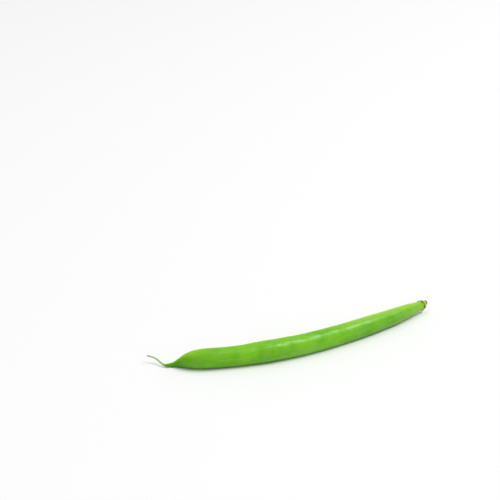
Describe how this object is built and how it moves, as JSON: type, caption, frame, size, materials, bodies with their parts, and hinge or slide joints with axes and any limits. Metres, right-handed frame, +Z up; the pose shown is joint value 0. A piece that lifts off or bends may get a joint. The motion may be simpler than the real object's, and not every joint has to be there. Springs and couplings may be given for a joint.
{
  "type": "green bean",
  "caption": "Single fresh green string bean lying on its side: slim curved pod with hooked beak, suture lines, faint seed swellings and a small calyx with stalk stub.",
  "frame": {"origin": "middle of the bean's bounding box, at the surface it lies on", "axes": "+X along the bean from the beak to the stalk, +Y towards the hollow side of its bow, +Z up from the surface"},
  "size_m": [0.135, 0.025, 0.009],
  "materials": {
    "pod_skin": "fresh bean skin: satin, mid green with paler yellow-green suture lines and neck, very fine down",
    "stalk_skin": "dry calyx and stalk stub: pale yellow-green going olive and tan, matt and finely ribbed"
  },
  "bodies": {
    "root": {"pod": "pod_skin", "stalk": "stalk_skin"}
  },
  "joints": []
}
